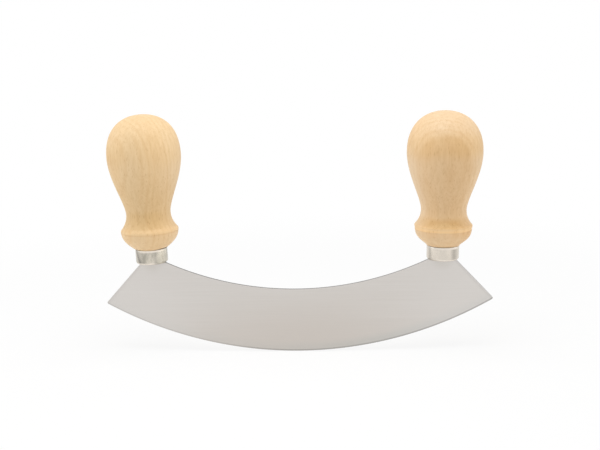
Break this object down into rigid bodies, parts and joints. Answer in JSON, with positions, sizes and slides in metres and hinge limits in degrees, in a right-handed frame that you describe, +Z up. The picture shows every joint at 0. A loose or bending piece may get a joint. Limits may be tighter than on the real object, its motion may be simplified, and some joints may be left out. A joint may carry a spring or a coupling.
{
  "type": "mezzaluna knife",
  "caption": "Mezzaluna rocking knife: a crescent steel blade held by upright turned beech handles on plated ferrules, for mincing herbs or cutting pizza.",
  "frame": {"origin": "on the middle of the cutting edge, its lowest point, half way through the blade's thickness", "axes": "+X along the blade from the left handle to the right one, +Y through the blade from its front to its back, +Z up along the handles"},
  "size_m": [0.2288, 0.0434, 0.1421],
  "materials": {
    "blade_steel": "satin, polished along the blade",
    "ferrule_plating": "bright nickel plating, slightly dulled",
    "beech": "turned and sanded, thin clear lacquer",
    "resin": "cured, hidden inside the handle"
  },
  "bodies": {
    "root": {"blade": "blade_steel", "left_ferrule": "ferrule_plating", "right_ferrule": "ferrule_plating", "left_handle": "beech", "right_handle": "beech", "left_tang_resin": "resin", "right_tang_resin": "resin"}
  },
  "joints": []
}
